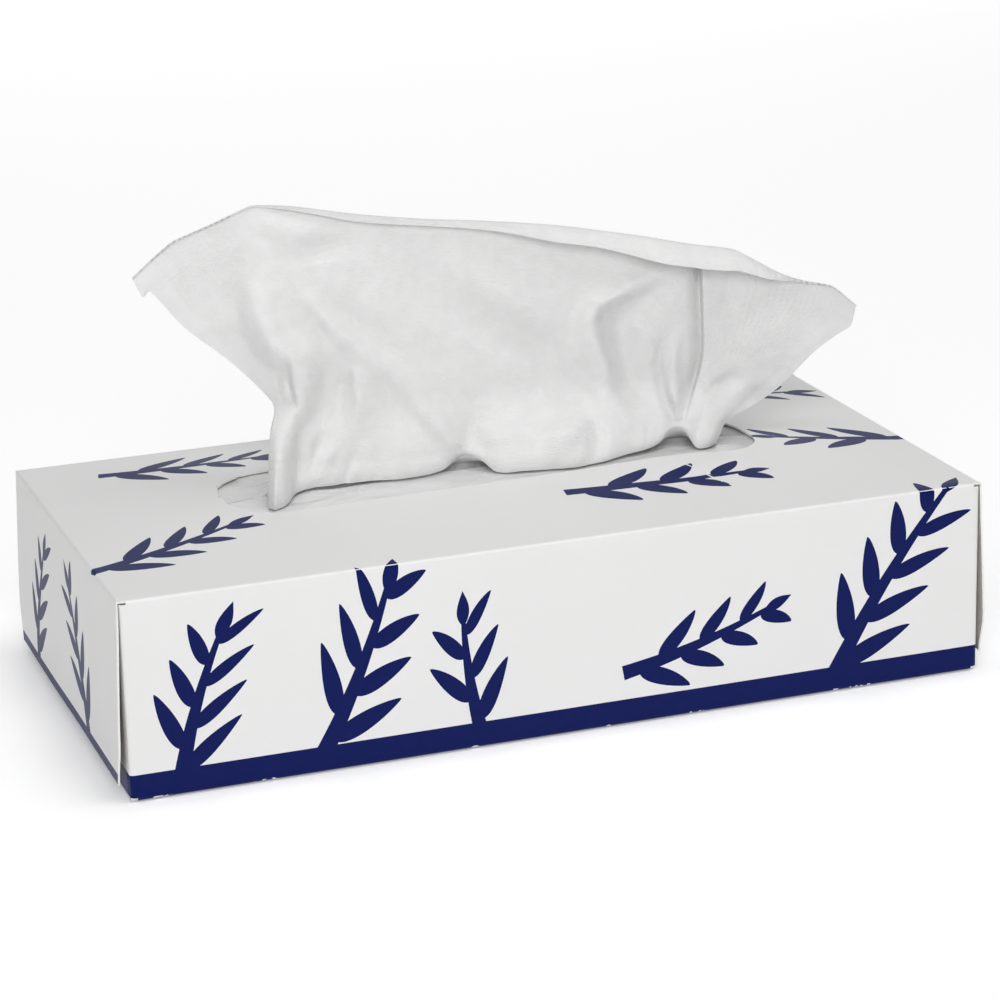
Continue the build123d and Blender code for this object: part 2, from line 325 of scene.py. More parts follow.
def sprig_stamp():
    """The printed motif: a bowed stem with pointed leaves on alternate sides, as a mask."""
    stamp = bpy.data.node_groups.new("leaf_sprig", "ShaderNodeTree")
    sizes = ("Root along", "Root round", "Turn", "Length", "Bow", "Leaf pairs", "Leaf length", "Stem width")
    stamp.interface.new_socket("Place", in_out="INPUT", socket_type="NodeSocketVector")
    for name in sizes:
        stamp.interface.new_socket(name, in_out="INPUT", socket_type="NodeSocketFloat")
    stamp.interface.new_socket("Ink", in_out="OUTPUT", socket_type="NodeSocketFloat")
    given = stamp.nodes.new("NodeGroupInput").outputs
    result = stamp.nodes.new("NodeGroupOutput")
    length, pairs = given["Length"], given["Leaf pairs"]

    def step(operation, first, second=0.0, third=0.0, clamp=False):
        """One step of arithmetic in the stamp."""
        return reckon(stamp, operation, first, second, third, clamp)

    root = join_up(stamp, "ShaderNodeCombineXYZ", {0: given["Root along"], 1: given["Root round"]})
    from_root = {0: given["Place"], 1: root.outputs[0]}
    away = join_up(stamp, "ShaderNodeVectorMath", from_root, operation="SUBTRACT")
    turn = {0: away.outputs[0], 3: given["Turn"]}
    turned = join_up(stamp, "ShaderNodeVectorRotate", turn, rotation_type="Z_AXIS", invert=True)
    parts = parts_of(stamp, turned.outputs[0])
    along = step("DIVIDE", parts[0], length)
    bowed = step("MULTIPLY", given["Bow"], step("MULTIPLY", along, along))
    across = step("SUBTRACT", step("DIVIDE", parts[1], length), bowed)
    from_stem = step("ABSOLUTE", across)
    side = step("SIGN", across)

    # Stem: widest at its root
    taper = step("MULTIPLY_ADD", along, -0.75, 1.0)
    half_stem = step("MULTIPLY", taper, step("DIVIDE", given["Stem width"], length))
    on_stem = step("LESS_THAN", from_stem, half_stem)
    started = step("GREATER_THAN", along, 0.0)
    ended = step("LESS_THAN", along, 1.0)
    stem = step("MULTIPLY", on_stem, step("MULTIPLY", started, ended))

    # Leaves: they lean forward, and each side's sit between the other side's
    leaf = step("DIVIDE", given["Leaf length"], length)
    reach = step("DIVIDE", from_stem, leaf)
    curl = step("MULTIPLY_ADD", reach, 0.35, 0.75)
    lean = step("MULTIPLY", step("MULTIPLY", reach, curl), leaf)
    foot = step("SUBTRACT", along, lean)
    shift = step("MULTIPLY_ADD", side, 0.25, 0.25)
    count = step("ADD", step("MULTIPLY", foot, pairs), shift)
    off_middle = step("ABSOLUTE", step("SUBTRACT", step("FRACT", count), 0.5))
    leaf_middle = step("ADD", step("FLOOR", count), 0.5)
    where = step("DIVIDE", step("SUBTRACT", leaf_middle, shift), pairs)
    smaller = step("MULTIPLY_ADD", where, -0.45, 1.15)
    share = step("DIVIDE", reach, smaller)
    bulge = step("SINE", step("MULTIPLY", step("POWER", share, 0.8, clamp=True), pi))
    swell = step("POWER", bulge, 0.7)
    half_leaf = step("MULTIPLY", step("MULTIPLY", swell, smaller), 0.29)
    on_leaf = step("LESS_THAN", off_middle, half_leaf)
    near = step("LESS_THAN", share, 1.0)
    past_root = step("GREATER_THAN", where, 0.08)
    before_tip = step("LESS_THAN", where, 0.88)
    kept = step("MULTIPLY", step("MULTIPLY", near, past_root), before_tip)
    leaves = step("MULTIPLY", on_leaf, kept)

    # One more leaf ends the stem
    past_leaves = step("SUBTRACT", along, 0.88)
    up_tip = step("DIVIDE", past_leaves, step("MULTIPLY", leaf, 0.9), clamp=True)
    tip_bulge = step("SINE", step("MULTIPLY", step("POWER", up_tip, 0.8), pi))
    half_tip = step("MULTIPLY", tip_bulge, step("MULTIPLY", leaf, 0.17))
    leaves = step("MAXIMUM", leaves, step("LESS_THAN", from_stem, half_tip))
    stamp.links.new(step("MAXIMUM", stem, leaves), result.inputs["Ink"])
    return stamp


# Sprigs of the print on the blank, in millimetres and degrees: root along and round the
# carton, turn, length, bow, leaves a side, leaf length and stem width
sprigs = [
    (-102, 2, 80, 43, -0.14, 4, 11, 2.2),
    (-66, 4, 60, 50, 0.12, 4, 12, 2.4),
    (-24, 3, 104, 34, -0.12, 3, 10, 2.0),
    (14, 14, 10, 46, 0.12, 4, 9, 2.0),
    (72, 3, 62, 64, -0.12, 5, 12, 2.4),
    (-115.8, 76, 16, 48, 0.12, 4, 10, 2.0),
    (-96, 152, -12, 48, 0.12, 4, 10, 2.0),
    (10, 80, -6, 56, 0.10, 4, 9, 2.0),
    (115.8, 97, 172, 40, -0.12, 3, 10, 2.0),
    (62, 152, 4, 48, -0.12, 4, 10, 2.0),
    (-163, 84, 24, 44, 0.14, 4, 10, 2.2),
    (-163, 146, -12, 40, -0.12, 4, 9, 2.0),
    (163, 88, 158, 44, -0.14, 4, 10, 2.2),
    (163, 146, 192, 40, 0.12, 4, 9, 2.0),
    (-70, 217, -66, 44, 0.12, 4, 11, 2.4),
    (8, 216, -80, 38, -0.12, 3, 11, 2.2),
    (84, 217, -110, 44, 0.12, 4, 11, 2.4),
]
white_print, navy_print = (0.76, 0.76, 0.755), (0.0006, 0.0065, 0.086)
grey_board = (0.50, 0.48, 0.44)
foot_band = 6.8 * mm

print_material, print_shader, tree, on_object = tuned("printed_board", white_print, 0.38)
on_blank = join_up(tree, "ShaderNodeUVMap", uv_map="blank").outputs[0]
in_mm = join_up(tree, "ShaderNodeVectorMath", {0: on_blank, "Scale": 1000.0}, operation="SCALE").outputs[0]
stamp = sprig_stamp()
ink = None
for along, round_it, turn, length, bow, pairs, leaf, stem in sprigs:
    node = tree.nodes.new("ShaderNodeGroup")
    node.node_tree = stamp
    tree.links.new(in_mm, node.inputs["Place"])
    settings = (along, round_it, radians(turn), length, bow, pairs, leaf, stem)
    for socket, value in zip(list(node.inputs)[1:], settings):
        socket.default_value = value
    mark = node.outputs["Ink"]
    ink = mark if ink is None else reckon(tree, "MAXIMUM", ink, mark)

# The navy band along the foot of the front, the ends and the back
along_blank, round_blank, _ = parts_of(tree, in_mm)
up_carton = parts_of(tree, on_object)[2]
ink = reckon(tree, "MAXIMUM", ink, reckon(tree, "LESS_THAN", up_carton, foot_band))

# Wear: the white board shows in specks and cracks where the print is folded. Along the top
# fold the paper is also lightened, a painted highlight. Places and widths are millimetres on
# the blank
top_fold_at, crease_at, crease_slope = 51.6, 84.6, 0.44
crease_middle, crease_half_length = 78.0, 10.0
top_fold_rub, crease_rub, foot_rub = 0.34, 0.55, 0.55
speck = mottle(tree, on_object, 620.0, 3.0)
stretch = mottle(tree, on_object, 70.0, 1.0)
crack = mottle(tree, on_object, 420.0, 4.0)
top_fold = reckon(tree, "ABSOLUTE", reckon(tree, "SUBTRACT", round_blank, top_fold_at))
on_top_fold = reckon(tree, "LESS_THAN", top_fold, reckon(tree, "MULTIPLY", crack, top_fold_rub))
past_crease = reckon(tree, "SUBTRACT", along_blank, crease_at)
from_crease = reckon(tree, "MULTIPLY_ADD", round_blank, crease_slope, past_crease)
crease_width = reckon(tree, "MULTIPLY", crack, crease_rub)
on_crease = reckon(tree, "LESS_THAN", reckon(tree, "ABSOLUTE", from_crease), crease_width)
up_crease = reckon(tree, "ABSOLUTE", reckon(tree, "SUBTRACT", round_blank, crease_middle))
short = reckon(tree, "LESS_THAN", up_crease, crease_half_length)
on_foot = reckon(tree, "LESS_THAN", reckon(tree, "ABSOLUTE", round_blank), foot_rub)
rubbed = reckon(tree, "MAXIMUM", on_top_fold, reckon(tree, "MULTIPLY", on_crease, short))
cracked = reckon(tree, "MULTIPLY", rubbed, reckon(tree, "GREATER_THAN", crack, 0.42))
specked = reckon(tree, "GREATER_THAN", speck, 0.57)
chipped = reckon(tree, "MULTIPLY", specked, reckon(tree, "GREATER_THAN", stretch, 0.56))
bare = reckon(tree, "MAXIMUM", cracked, reckon(tree, "MULTIPLY", on_foot, chipped))
ink = reckon(tree, "MULTIPLY", ink, reckon(tree, "SUBTRACT", 1.0, bare))
cloud = mottle(tree, on_object, 30.0, 4.0)
flat_tone = blend(tree, cloud, (0.745, 0.745, 0.74), (0.775, 0.775, 0.77))
# Painted highlight: the paper is lighter near the top fold, broken by the crack noise, where the varnish
# catches the light
painted_fold_highlight = reckon(tree, "MULTIPLY", carried(tree, top_fold, (0.2, 0.8), (1.0, 0.0)), crack)
paper_tone_and_painted_highlight = blend(tree, painted_fold_highlight, flat_tone, (0.92, 0.92, 0.92))
tree.links.new(blend(tree, ink, paper_tone_and_painted_highlight, navy_print), print_shader.inputs["Base Color"])
grain = mottle(tree, on_object, 1400.0, 2.0)
swell = mottle(tree, on_object, 60.0, 2.0)
emboss(tree, print_shader, reckon(tree, "MULTIPLY_ADD", swell, 6.0, grain), 0.10, 0.00015)
tree.links.new(carried(tree, cloud, (0.3, 0.7), (0.34, 0.44)), print_shader.inputs["Roughness"])
print_shader.inputs["Specular IOR Level"].default_value = 0.12

inside_material, inside_shader, tree, on_object = tuned("board_inside", grey_board, 0.9)
fibres = blend(tree, mottle(tree, on_object, 700.0, 4.0), (0.42, 0.40, 0.36), (0.60, 0.58, 0.54))
tree.links.new(fibres, inside_shader.inputs["Base Color"])

cut_material, cut_shader, tree, on_object = tuned("board_cut_edge", (0.80, 0.79, 0.77), 0.9)
fray = mottle(tree, on_object, 2200.0, 3.0)
torn = blend(tree, fray, (0.70, 0.69, 0.67), (0.88, 0.875, 0.86))
tree.links.new(torn, cut_shader.inputs["Base Color"])
emboss(tree, cut_shader, fray, 0.5, 0.0002)

for material in (print_material, inside_material, cut_material):
    carton.data.materials.append(material)
thick = carton.modifiers.new("board", "SOLIDIFY")
thick.thickness = board
thick.offset = -1
thick.material_offset = 1
thick.material_offset_rim = 2
bpy.ops.object.modifier_apply(modifier=thick.name)

# The opening's die: a rounded slab with the nicks of the torn perforation round it
bpy.ops.object.select_all(action="DESELECT")
bpy.ops.mesh.primitive_plane_add(size=1, location=(*opening_middle, height - 2 * mm))
die = bpy.context.object
die.name = "opening_die"
die.scale = (*opening_size, 1)
bpy.ops.object.transform_apply()
bpy.ops.object.mode_set(mode="EDIT")
bpy.ops.mesh.select_all(action="SELECT")
bpy.ops.mesh.bevel(offset=opening_corner, segments=16, affect="VERTICES")
bpy.ops.mesh.select_mode(type="EDGE")
cut_long_edges(0, 20 * mm, 160)
cut_long_edges(1, 4 * mm, 8)
bpy.ops.object.mode_set(mode="OBJECT")
nick_every, nick_depth, torn_depth = 7, 0.75 * mm, 0.14 * mm
for count, index in enumerate(list(die.data.polygons[0].vertices)):
    point = die.data.vertices[index].co
    out = Vector((point.x - opening_middle[0], (point.y - opening_middle[1]) * 3, 0)).normalized()
    nick = nick_depth if count % nick_every == 0 else 0.0
    point += out * (nick + torn_depth * noise.noise(point * 900))
bpy.ops.object.mode_set(mode="EDIT")
bpy.ops.mesh.select_all(action="SELECT")
bpy.ops.mesh.extrude_region_move(TRANSFORM_OT_translate={"value": (0, 0, 12 * mm)})
finish_mesh()
die.data.materials.append(cut_material)
bpy.ops.object.select_all(action="DESELECT")
carton.select_set(True)
bpy.context.view_layer.objects.active = carton
cut = carton.modifiers.new("opening", "BOOLEAN")
cut.operation = "DIFFERENCE"
cut.solver = "EXACT"
cut.material_mode = "TRANSFER"
cut.object = die
bpy.ops.object.modifier_apply(modifier=cut.name)
bpy.data.objects.remove(die)
bpy.ops.object.shade_smooth_by_angle(angle=radians(38))
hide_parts("carton")
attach(carton, "root")

# Glue beads. Hot melt laid in two lines on each bottom end flap and squeezed flat by the
# outer flap. The beads keep their places and get a waxy, slightly yellow finish.
glue_material, glue_shader, tree, on_object = tuned("hot_melt", (0.80, 0.74, 0.58), 0.42)
cloudy = mottle(tree, on_object, 240.0, 3.0)
wax = blend(tree, cloudy, (0.70, 0.62, 0.45), (0.86, 0.81, 0.68))
tree.links.new(wax, glue_shader.inputs["Base Color"])
emboss(tree, glue_shader, cloudy, 0.4, 0.0003)
for name in ("end_glue_left", "end_glue_right"):
    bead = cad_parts[name]
    bead.data.materials.clear()
    bead.data.materials.append(glue_material)

# Stack. Two-ply sheets interfolded into a soft brick, with their folds along both long
# sides and their cut edges at the ends.
stack_low, stack_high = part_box("tissue_stack")
bpy.ops.object.select_all(action="DESELECT")
bpy.ops.mesh.primitive_cube_add(size=1, location=(0, 0, 0))
stack = bpy.context.object
stack.name = "stack_of_sheets"
stack_size = stack_high - stack_low
stack.scale = (stack_size.x - 0.6 * mm, stack_size.y - 2.8 * mm, stack_size.z - 0.6 * mm)
stack.location = (stack_low + stack_high) / 2
bpy.ops.object.transform_apply()
bpy.ops.object.mode_set(mode="EDIT")
bpy.ops.mesh.select_mode(type="EDGE")
cut_long_edges(2, 20 * mm, 95)
cut_long_edges(0, 100 * mm, 41)
cut_long_edges(1, 60 * mm, 19)
bpy.ops.object.mode_set(mode="OBJECT")
layers = 96
stack_middle = (stack_low + stack_high) / 2
for vertex in stack.data.vertices:
    p = vertex.co
    layer = round((p.z - stack_low.z) / (stack_size.z / layers))
    up = (p.z - stack_low.z) / stack_size.z
    side = 1 if p.y > stack_middle.y else -1
    if abs(p.y - stack_middle.y) > stack_size.y / 2 - 1.6 * mm:
        uneven = noise.noise(Vector((layer * 1.7, p.x * 12, side)))
        p.y += side * (0.9 * sin(pi * up) + (0.25 if layer % 2 else -0.25) + 0.35 * uneven) * mm
    end = 1 if p.x > 0 else -1
    if abs(p.x) > stack_size.x / 2 - 0.6 * mm:
        p.x -= end * (0.35 + 0.35 * noise.noise(Vector((layer * 2.3, p.y * 14, end)))) * mm
    if up > 0.97 or up < 0.03:
        p.z -= (0.3 + 0.3 * noise.noise(Vector((p.x * 25, p.y * 25, 0)))) * mm * (1 if up > 0.5 else -1)

tissue_white = (0.80, 0.80, 0.80)
stack_material, stack_shader, tree, on_object = tuned("stacked_tissue", tissue_white, 0.95)
fluff = mottle(tree, on_object, 900.0, 4.0)
soft = blend(tree, fluff, (0.80, 0.80, 0.80), (0.92, 0.92, 0.925))
tree.links.new(soft, stack_shader.inputs["Base Color"])
emboss(tree, stack_shader, fluff, 0.5, 0.0004)
stack.data.materials.append(stack_material)
bpy.ops.object.shade_smooth_by_angle(angle=radians(50))
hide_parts("tissue_stack")
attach(stack, "root")

# Film window. Thin clear plastic glued under the top panel, slit down its middle. The
# gathered sheet holds the slit open and lifts its lips.
film = 0.1 * mm
film_middle, film_size = (1.5 * mm, 3 * mm), (169 * mm, 60 * mm)
slit_middle, slit_size = (3 * mm, 3 * mm), (125 * mm, 7 * mm)
film_points, film_rings = 160, 22


def rounded(angle, middle, size, corner):
    """A point of a rounded rectangle, by its share of the way round."""
    flat_x, flat_y = size[0] - 2 * corner, size[1] - 2 * corner
    quarter = pi * corner / 2
    way = (angle / tau % 1) * (2 * flat_x + 2 * flat_y + 4 * quarter)
    x, y, heading = size[0] / 2, 0.0, pi / 2
    runs = [(flat_y / 2, 0), (quarter, 1), (flat_x, 0), (quarter, 1), (flat_y, 0), (quarter, 1)]
    runs += [(flat_x, 0), (quarter, 1), (flat_y / 2, 0)]
    for length, bends in runs:
        step = min(way, length)
        if bends:
            swing = step / corner
            x += corner * (sin(heading + swing) - sin(heading))
            y -= corner * (cos(heading + swing) - cos(heading))
            heading += swing
        else:
            x += step * cos(heading)
            y += step * sin(heading)
        way -= step
        if way <= 1e-12:
            break
    return middle[0] + x, middle[1] + y


bpy.ops.object.select_all(action="DESELECT")
bpy.ops.mesh.primitive_circle_add(vertices=film_points, radius=1, location=(0, 0, 0))
window = bpy.context.object
window.name = "window_film"
bpy.ops.object.mode_set(mode="EDIT")
for ring in range(film_rings):
    bpy.ops.mesh.extrude_edges_move(TRANSFORM_OT_translate={"value": (0, 0, 1)})
bpy.ops.object.mode_set(mode="OBJECT")
for vertex in window.data.vertices:
    ring = round(vertex.co.z)
    angle = np.arctan2(vertex.co.y, vertex.co.x)
    share = (ring / film_rings) ** 1.4
    inner_x, inner_y = rounded(angle, slit_middle, slit_size, slit_size[1] / 2 - 0.01 * mm)
    to_end = max(0.0, 1 - abs(inner_x - slit_middle[0]) / (slit_size[0] / 2))
    inner_y = slit_middle[1] + (inner_y - slit_middle[1]) * max(0.04, min(1, 4 * to_end) ** 0.8)
    outer_x, outer_y = rounded(angle, film_middle, film_size, 2 * mm)
    x, y = inner_x + (outer_x - inner_x) * share, inner_y + (outer_y - inner_y) * share
    free = max(0.0, 1 - share / 0.45)
    behind_sheet = 1 if y > slit_middle[1] else 0
    uneven = 0.7 + 0.6 * noise.noise(Vector((x * 60, y * 60, 0)))
    lip = 1.5 * behind_sheet * min(1, 4 * to_end) * free ** 2 * uneven
    in_opening = min(1, 3 * max(0.0, 1 - share / 0.62))
    streak = noise.noise(Vector((x * 40, y * 110, 5))) + 0.5 * noise.noise(Vector((x * 130, y * 150, 9)))
    sag = 0.35 + 1.1 * behind_sheet * min(1, max(0.0, abs(x - opening_middle[0]) / (45 * mm) - 0.6))
    z = height - board - 0.12 * mm + top_lift(x, y) + (lip + (0.35 * streak - sag) * in_opening) * mm
    vertex.co = (x, y, z)
bpy.ops.object.mode_set(mode="EDIT")
finish_mesh()
if sum(f.normal.z for f in window.data.polygons) < 0:
    window.data.flip_normals()

film_material, film_shader, tree, on_object = tuned("clear_film", (0.93, 0.93, 0.93), 0.2)
film_shader.inputs["IOR"].default_value = 1.5
film_shader.inputs["Specular IOR Level"].default_value = 0.7
drawn = join_up(tree, "ShaderNodeMapping", {0: on_object, "Scale": (45.0, 95.0, 60.0)}).outputs[0]
crinkle = mottle(tree, drawn, 1.0, 2.0, Distortion=1.5)
emboss(tree, film_shader, crinkle, 0.4, 0.0012)
haze = carried(tree, crinkle, (0.35, 0.7), (0.14, 0.3))
tree.links.new(haze, film_shader.inputs["Roughness"])
along_film = parts_of(tree, on_object)[0]
clearer = carried(tree, along_film, (58 * mm, 70 * mm), (0.68, 0.42))
tree.links.new(clearer, film_shader.inputs["Alpha"])
window.data.materials.append(film_material)
thick = window.modifiers.new("film", "SOLIDIFY")
thick.thickness = film
thick.offset = -1
bpy.ops.object.modifier_apply(modifier=thick.name)
bpy.ops.object.shade_smooth_by_angle(angle=radians(50))
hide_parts("film_window")
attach(window, "root")

# Pulled sheet. A two-ply tissue drawn half way through the slit: gathered there, fanned
# out above with a lip that flops forward, and its lower half still lying on the stack.
flat_width, flat_length = 210 * mm, 200 * mm
slit_y = 3 * mm
stack_top = 42 * mm
film_level = 53.8 * mm

# The photograph's camera, fitted to the carton's corners. The sheet's outline and folds are
# pixels of its 1000 by 1000 frame, and each is laid on the upright plane through the slit
azimuth, elevation, roll = radians(-19.279), radians(17.649), radians(-1.555)
distance, aim_right, aim_up = 877.458 * mm, 1.492 * mm, 42.675 * mm
lens, sensor_width, frame_width = 117.17, 36, 1000
behind = Vector((sin(azimuth) * cos(elevation), -cos(azimuth) * cos(elevation), sin(elevation)))
flat_right = (-behind).cross(Vector((0, 0, 1))).normalized()
flat_up = flat_right.cross(-behind)
right = cos(roll) * flat_right + sin(roll) * flat_up
above = -sin(roll) * flat_right + cos(roll) * flat_up
eye = behind * distance + right * aim_right + above * aim_up


def laid_on_slit(px, py):
    """A pixel of the photograph laid on the slit's plane: x and z in millimetres."""
    focal = lens * frame_width / sensor_width
    line = right * (px - frame_width / 2) / focal - above * (py - frame_width / 2) / focal - behind
    place = eye + line * (slit_y - eye.y) / line.y
    return place.x / mm, place.z / mm


# The free top edge from the left tip to the right one: share of the width, pixel, and the x
# where that thread is gathered in the slit
top_picks = [
    (0.000, 132, 278, -60.0),
    (0.030, 151, 260, -59.7),
    (0.053, 167, 246, -59.4),
    (0.062, 174, 241, -59.3),
    (0.115, 210, 225, -57.5),
    (0.158, 242.5, 209.5, -55.4),
    (0.170, 251, 206, -54.9),
    (0.182, 260, 205.5, -54.1),
    (0.222, 291.5, 206.5, -51.0),
    (0.295, 353, 214, -44.1),
    (0.382, 420, 219, -32.0),
    (0.460, 480, 221, -12.6),
    (0.557, 553, 225.5, 10.9),
    (0.621, 600, 231, 26.2),
    (0.675, 640, 236.5, 35.7),
    (0.745, 689.5, 244.5, 48.0),
    (0.796, 725.5, 248.5, 55.5),
    (0.810, 735, 251, 57.2),
    (0.880, 780, 273.5, 62.3),
    (0.917, 805, 281, 63.8),
    (0.947, 826, 284.5, 65.0),
    (0.958, 833.5, 287, 65.3),
    (1.000, 856, 305, 66.5),
]
top_edge = np.array([(share, *laid_on_slit(px, py), foot) for share, px, py, foot in top_picks])

# Its two side edges between the slit and the tips: share of the height and pixel
left_picks = [
    (0.18, 270.5, 432), (0.25, 275.5, 411), (0.29, 272, 401), (0.48, 231, 362.5),
    (0.68, 185.5, 328.5), (0.90, 156, 297), (0.93, 149, 291),
]
right_picks = [
    (0.14, 729.5, 418), (0.27, 750, 407), (0.40, 775, 390), (0.52, 793, 373),
    (0.66, 815, 351), (0.76, 835, 336), (0.84, 849, 327), (0.88, 852, 323),
]


def side_edge(picks, corner):
    """One side edge from the slit to its tip: share of the height, x and z."""
    _, tip_x, tip_z, foot = corner
    between = [(share, *laid_on_slit(px, py)) for share, px, py in picks]
    return np.array([(0.0, foot, film_level / mm), *between, (1.0, tip_x, tip_z)])


left_edge = side_edge(left_picks, top_edge[0])
right_edge = side_edge(right_picks, top_edge[-1])

# The belly above the slit: x in the slit, how far forward its hem lies on the film, and
# how far the hem arches up from it
belly = np.array([
    (-60.0, 12.0, 0.0), (-57.5, 14.5, 0.0), (-54.5, 11.5, 0.0), (-52.5, 6.0, 0.3), (-48.0, 3.0, 0.2),
    (-43.0, 3.0, 0.0), (-32.0, 4.0, 0.0), (-23.0, 6.0, 0.0), (-12.0, 5.0, 0.5), (-6.5, 2.5, 3.0),
    (-2.0, 6.0, 3.0), (3.0, 10.5, 0.0), (11.0, 13.0, 0.0), (18.0, 14.5, 0.0), (27.0, 16.0, 0.0),
    (34.0, 15.0, 0.0), (41.0, 12.5, 0.3), (46.0, 11.5, 0.6), (50.0, 9.5, 1.5), (53.0, 7.0, 4.2),
    (57.0, 7.5, 4.2), (60.5, 13.0, 0.3), (64.0, 13.5, 0.0), (66.5, 10.0, 0.0),
])
# How far the sheet stands back from the slit: rows from the slit up, columns across
lean_columns = [0.0, 0.10, 0.17, 0.26, 0.40, 0.60, 0.76, 0.83, 0.90, 1.0]
lean_rows = [0.0, 0.35, 0.7, 1.0]
lean_back = np.array([
    (0.0, 0.0, 0.0, 0.0, 0.0, 0.0, 0.0, 0.0, 0.0, 0.0),
    (2.5, 1.5, -0.5, 0.0, -0.3, 0.0, 0.8, 0.5, -1.0, -1.5),
    (6.5, 4.5, 0.0, 0.3, 0.0, 0.0, 0.3, 0.5, -2.0, -4.0),
    (9.5, 6.5, 2.0, 0.5, 0.3, 0.3, 0.3, -0.2, -2.5, -6.0),
])
# Ridges and valleys, each as its half widths left and right of its line in millimetres, and
# then pixels with how far back the sheet lies there
fold_picks = [
    # Left: the wing turns into the gathered foot
    (6, 8, [
        (258, 268, -0.5), (253, 290, -2.5), (257, 320, -3.5), (272, 345, -4),
        (294, 362, -4.5), (303, 385, -4.5), (303, 405, -4), (302, 423, -2),
    ]),
    (3.5, 1.4, [(287, 352, 0), (287, 365, 2.5), (288, 382, 3.5), (292, 398, 3.5), (297, 413, 2)]),
    (5, 5, [(277, 412, -0.8), (281, 430, -1.2), (278, 455, -1.8), (275, 480, -2), (272, 500, -1.5)]),
    (1.4, 1.8, [(280, 457, 0), (278.5, 476, 1.2), (278.5, 505.5, 2.2)]),
    (4, 4, [(297, 420, 0.8), (299, 440, 1.6), (296, 462, 1.9), (292, 480, 1.6), (290, 492, 0.8)]),
    (6, 5, [
        (330, 345, 1), (336, 360, 3), (338, 385, 3.5), (336, 410, 3), (325, 440, 2.5), (312, 462, 1.5),
    ]),
    (4, 4, [(322, 352, 1.2), (321, 385, 2), (317, 410, 2), (308, 430, 2), (302, 450, 1)]),
    (3.5, 3.5, [(332, 405, -0.5), (332, 425, -1.5), (328, 450, -1.5), (320, 470, -0.8)]),
    (3, 8, [(353, 349, -1), (358, 376, -2), (360, 400, -2), (358, 424, -1.5), (356, 441, -1)]),
    (4, 1.5, [(359, 438, 0), (354, 460, 1.2), (346, 480, 1.5)]),
    (5, 5, [
        (285, 275, 0), (297, 290, -1), (319, 315, -1.8), (351, 341, -2),
        (389, 369, -2), (421, 404, -2.2), (453, 439, -2.5), (471, 463, -2.5),
    ]),
    (5, 7, [(320, 290, 0), (340, 308, 1.2), (367, 333, 1.6), (395, 358, 1.2), (420, 380, 0.5)]),
    (4, 3, [(290, 290, 0), (305, 308, 1), (322, 332, 1.6), (338, 348, 1.6)]),
    (7, 7, [(268.5, 395, 1), (227.5, 348.5, 1), (176.5, 302.5, 0.6)]),
    (5, 5, [(250, 206, -0.4), (268, 222, -1.6), (300, 232, -1.8), (345, 228, -0.8)]),
    (4.5, 4.5, [(267.5, 254.5, 0.6), (301.5, 252.5, 1.8), (338.5, 246.5, 1.8), (383, 239.5, 0.6)]),
    # Middle: broad and soft
    (9, 9, [
        (385.5, 253, 0.5), (416, 276.5, 1.5), (457, 302, 2.2), (508, 333, 2.2), (549, 354, 1.5),
        (579.5, 372, 0.5),
    ]),
    (8, 8, [(457, 272, -0.8), (508, 303.5, -1.5), (559, 338, -1.2)]),
    (7, 7, [
        (503, 308, 0.3), (523, 328, 1.5), (559, 375, 2.2), (584.5, 409.5, 2.2), (594.5, 430, 1.8),
        (610, 444, 0.5),
    ]),
    (5, 5, [(543.5, 445.5, -1), (559, 435, -2.4), (579.5, 427, -2.4), (587, 432.5, -1.5)]),
    (4, 4, [(589.5, 420, 1.5), (597.5, 435, 1.8), (589.5, 450.5, 1.2)]),
    # Right: a hollow, the folds beside the pleat and the wing
    (7, 3, [
        (682, 269, -0.5), (652, 280, -2), (623, 293, -3.2), (598, 305, -3.8), (592, 320, -3.8),
        (594, 337, -3.5), (604, 364, -3), (610, 393, -2.5), (623, 414, -1.5),
    ]),
    (6, 9, [
        (672, 290, 3), (640, 302, 4), (618, 320, 4.2), (622, 350, 4), (632, 385, 3.5), (645, 415, 2),
    ]),
    (3, 1.8, [
        (675, 331, 0.5), (662, 343, 1.8), (659, 364, 2), (662, 385, 2), (668, 402, 2), (676, 421, 1.5),
    ]),
    (2.5, 3, [(680, 325, -0.5), (675, 345, -1.6), (673, 370, -2), (674, 395, -2), (678, 416, -1.5)]),
    (3, 5, [(703, 398, 1.2), (722, 383, 1.5), (744, 371, 0.8)]),
    (4, 4, [(712, 408, -0.5), (735, 395, -1), (765, 375, -0.5)]),
]
folds = [
    (half_left, half_right, [(*laid_on_slit(px, py), depth) for px, py, depth in points])
    for half_left, half_right, points in fold_picks
]
gathered_below = 62  # height under which the slit gathers a fold

# The pleat: from here on the right wing lies over the middle of the sheet, along one
# thread. Its pixels from the slit up, how deep it is and how far it reaches each way
pleat_picks = [
    (685, 438.5), (687, 421), (692, 402), (694.9, 390.7), (700.6, 371.6), (703.9, 356),
    (704.8, 337), (703.5, 293), (702.5, 262), (702, 244.5),
]
pleat = np.array([laid_on_slit(px, py) for px, py in pleat_picks])
pleat_under, pleat_over, pleat_turn = 3.3, 0.9, 1.3
pleat_reach = (5.5, 9.0)
# The left tip is turned down into a small ear: share of the height, x and z past the tip
ear = np.array([(0.93, 0.0, 0.0), (0.965, 0.4, -3.6), (0.985, 0.2, -1.9), (1.0, 0.0, 0.0)])
# The lip: share of the width, and how far it comes forward and down
lip_reach = np.array([
    (0.17, 0.3), (0.25, 1.2), (0.30, 1.6), (0.38, 1.5), (0.46, 1.9), (0.50, 2.4), (0.557, 3.8),
    (0.615, 4.3), (0.685, 5.4), (0.73, 5.3), (0.785, 5.5), (0.84, 3.8), (0.895, 1.0), (0.93, 0.4),
    (1.0, 0.3),
])
# Its roll, as shares of that: share of the way, forward and down
lip_profile = np.array([
    (0, 0, 0), (0.25, -0.28, 0.06), (0.5, -0.62, -0.18), (0.8, -0.92, -0.62), (1, -1.0, -1.0),
])


